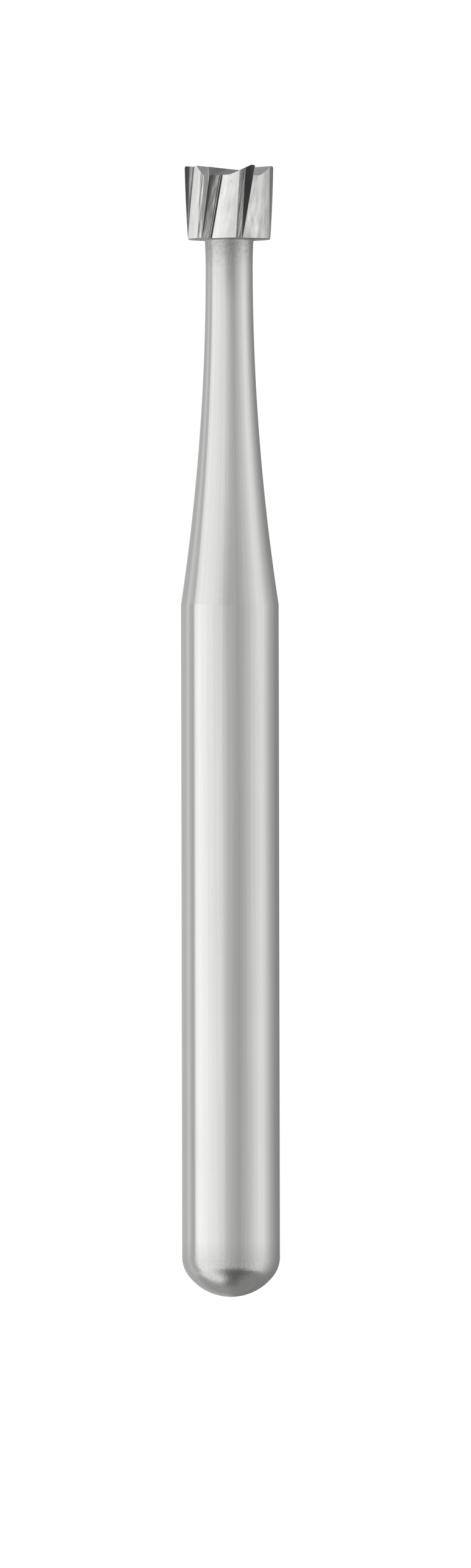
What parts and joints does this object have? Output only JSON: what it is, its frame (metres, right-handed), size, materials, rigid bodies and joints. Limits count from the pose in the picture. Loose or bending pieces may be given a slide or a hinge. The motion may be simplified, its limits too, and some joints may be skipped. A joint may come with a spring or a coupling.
{
  "type": "dental bur",
  "caption": "Dental bur with a fluted, end-cutting inverted-cone head on a slender flared neck, and a round shank with a domed end for a friction-grip chuck.",
  "frame": {"origin": "the lowest point of the shank's domed end, on the axis", "axes": "+Z along the axis towards the cutting head, -Y towards the viewer of the picture, +X to the viewer's right"},
  "size_m": [0.0016, 0.0016, 0.0185],
  "materials": {
    "tungsten_carbide": "ground tungsten carbide, satin"
  },
  "bodies": {
    "root": {"bur": "tungsten_carbide"}
  },
  "joints": []
}
